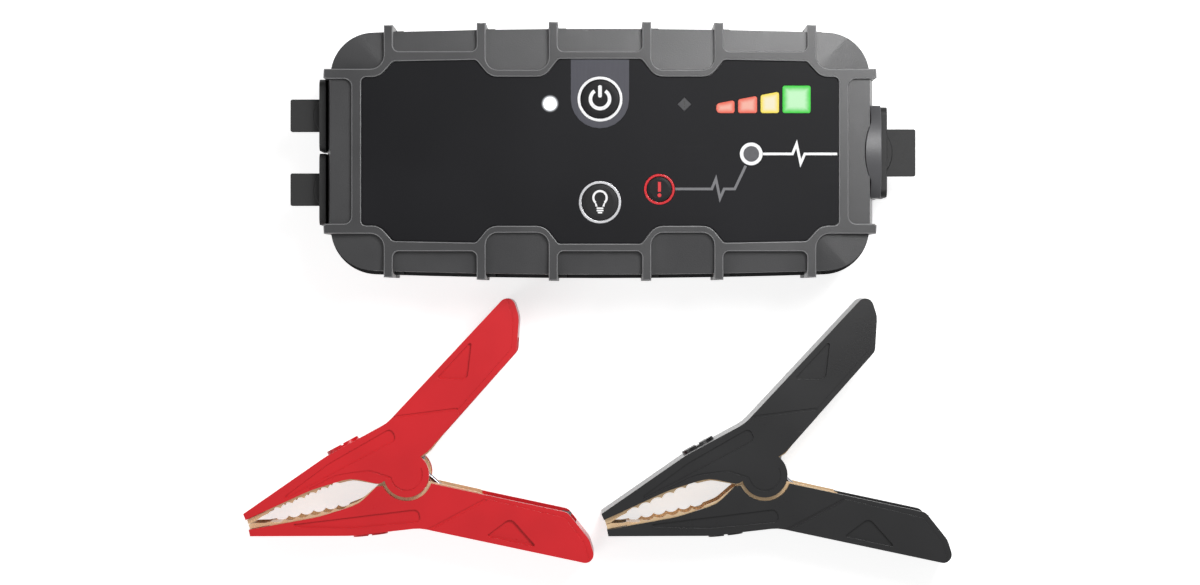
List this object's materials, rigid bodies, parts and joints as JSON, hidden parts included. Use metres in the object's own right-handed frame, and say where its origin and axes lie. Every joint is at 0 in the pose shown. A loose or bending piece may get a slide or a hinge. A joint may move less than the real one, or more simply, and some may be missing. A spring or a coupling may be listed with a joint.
{
  "type": "jump starter pack",
  "caption": "Ribbed rectangular battery pack with ringed keys, charge lights and rubber port flaps, lying beside its pair of sprung battery clamps.",
  "frame": {"origin": "Centre of the pack's flat back face, on the table that the pack and both clamps lie on.", "axes": "+X along the pack's length towards the outlet end, +Y across it away from the clamps, +Z out of its button face."},
  "size_m": [0.2216, 0.1679, 0.043],
  "materials": {
    "rear_casing": "fine spark-eroded texture",
    "front_casing": "fine spark-eroded texture",
    "rest_rubber": "matt",
    "seal": "matt",
    "panel": "matt film",
    "tongue": "satin",
    "power_button": "satin",
    "lamp_button": "satin",
    "override_button": "satin",
    "white_ring": "gloss",
    "silver_ring": "brushed",
    "red_ring": "gloss",
    "white_print": "print",
    "grey_print": "print",
    "red_print": "print",
    "red_light": "lit diffuser",
    "yellow_light": "lit diffuser",
    "green_light": "lit diffuser",
    "boost_light": "unlit diffuser",
    "boost_ring": "gloss",
    "power_light": "lit diffuser",
    "error_light": "unlit diffuser",
    "board": "solder mask",
    "board_parts": "matt",
    "relay": "gloss",
    "cells": "foil",
    "foam": "foam",
    "tray": "matt",
    "copper": "bright",
    "bezel": "satin",
    "outlet": "matt",
    "contacts": "bright",
    "port_rubber": "matt",
    "shell_metal": "tin plate",
    "port_tongue": "gloss",
    "lamp_glass": "clear",
    "lamp_mirror": "polished",
    "screw_steel": "black zinc",
    "red_grip": "satin",
    "black_grip": "satin",
    "jaw_plate": "bright plate",
    "pin_steel": "ground",
    "spring_steel": "oiled",
    "gland_rubber": "matt"
  },
  "bodies": {
    "pack": {"rear_case": "rear_casing", "rest_pads": "rest_rubber", "mid_seal": "seal", "front_case": "front_casing", "face_panel": "panel", "power_tongue": "tongue", "power_ring": "white_ring", "light_ring": "silver_ring", "override_ring": "red_ring", "charge_red_lenses": "red_light", "charge_yellow_lens": "yellow_light", "charge_green_lens": "green_light", "boost_lens": "boost_light", "boost_ring": "boost_ring", "power_lens": "power_light", "error_lens": "error_light", "pulse_line": "white_print", "link_line": "grey_print", "main_board": "board", "board_parts": "board_parts", "key_switches": "board_parts", "relay": "relay", "battery_cells": "cells", "cell_pads": "foam", "cell_tray": "tray", "bus_bars": "copper", "dc_bezel": "bezel", "dc_socket": "outlet", "dc_contacts": "contacts", "usb_out_shell": "shell_metal", "usb_in_shell": "shell_metal", "usb_tongues": "port_tongue", "cover_anchors": "port_rubber", "lamp_window": "lamp_glass", "lamp_reflector": "lamp_mirror", "case_screws": "screw_steel"},
    "power_button": {"power_key": "power_button", "power_icon": "white_print"},
    "lamp_button": {"light_key": "lamp_button", "light_icon": "white_print"},
    "override_button": {"override_key": "override_button", "override_icon": "red_print"},
    "usb_out_flap": {"usb_out_cover": "port_rubber"},
    "usb_in_flap": {"usb_in_cover": "port_rubber"},
    "dc_flap": {"dc_cover": "port_rubber"},
    "red_clamp": {"red_lower_cover": "red_grip", "red_lower_plate": "jaw_plate", "red_pivot_pin": "pin_steel", "red_spring": "spring_steel", "red_cable_gland": "gland_rubber"},
    "red_lever": {"red_upper_cover": "red_grip", "red_upper_plate": "jaw_plate"},
    "black_clamp": {"black_lower_cover": "black_grip", "black_lower_plate": "jaw_plate", "black_pivot_pin": "pin_steel", "black_spring": "spring_steel", "black_cable_gland": "gland_rubber"},
    "black_lever": {"black_upper_cover": "black_grip", "black_upper_plate": "jaw_plate"}
  },
  "joints": [
    {"name": "press_power", "type": "slide", "parent": "pack", "child": "power_button", "axis": [0, 0, -1], "range_m": [0, 0.0005], "stiffness_N_per_m": 300, "springref_m": -0.001},
    {"name": "press_lamp", "type": "slide", "parent": "pack", "child": "lamp_button", "axis": [0, 0, -1], "range_m": [0, 0.0005], "stiffness_N_per_m": 300, "springref_m": -0.001},
    {"name": "press_override", "type": "slide", "parent": "pack", "child": "override_button", "axis": [0, 0, -1], "range_m": [0, 0.0005], "stiffness_N_per_m": 300, "springref_m": -0.001},
    {"name": "open_usb_out", "type": "hinge", "parent": "pack", "child": "usb_out_flap", "pos_m": [-0.087, 0.0115, 0.0135], "axis": [0, -1, 0], "range_deg": [0, 85], "stiffness_Nm_per_rad": 0.02, "springref_deg": -17.19},
    {"name": "open_usb_in", "type": "hinge", "parent": "pack", "child": "usb_in_flap", "pos_m": [-0.087, -0.0115, 0.0135], "axis": [0, -1, 0], "range_deg": [0, 85], "stiffness_Nm_per_rad": 0.02, "springref_deg": -17.19},
    {"name": "open_dc", "type": "hinge", "parent": "pack", "child": "dc_flap", "pos_m": [0.089, 0, 0.0081], "axis": [0, 1, 0], "range_deg": [0, 75], "stiffness_Nm_per_rad": 0.02, "springref_deg": -17.19},
    {"name": "lift_red_clamp", "type": "slide", "parent": "pack", "child": "red_clamp", "axis": [0, 0, 1], "range_m": [0, 0.08]},
    {"name": "squeeze_red_clamp", "type": "hinge", "parent": "red_clamp", "child": "red_lever", "pos_m": [-0.0605, -0.10047, 0.0125], "axis": [0, 0, -1], "range_deg": [0, 28], "stiffness_Nm_per_rad": 0.8, "springref_deg": -34.38, "deforming": ["red_spring"]},
    {"name": "lift_black_clamp", "type": "slide", "parent": "pack", "child": "black_clamp", "axis": [0, 0, 1], "range_m": [0, 0.08]},
    {"name": "squeeze_black_clamp", "type": "hinge", "parent": "black_clamp", "child": "black_lever", "pos_m": [0.0515, -0.10047, 0.0125], "axis": [0, 0, -1], "range_deg": [0, 28], "stiffness_Nm_per_rad": 0.8, "springref_deg": -34.38, "deforming": ["black_spring"]}
  ]
}
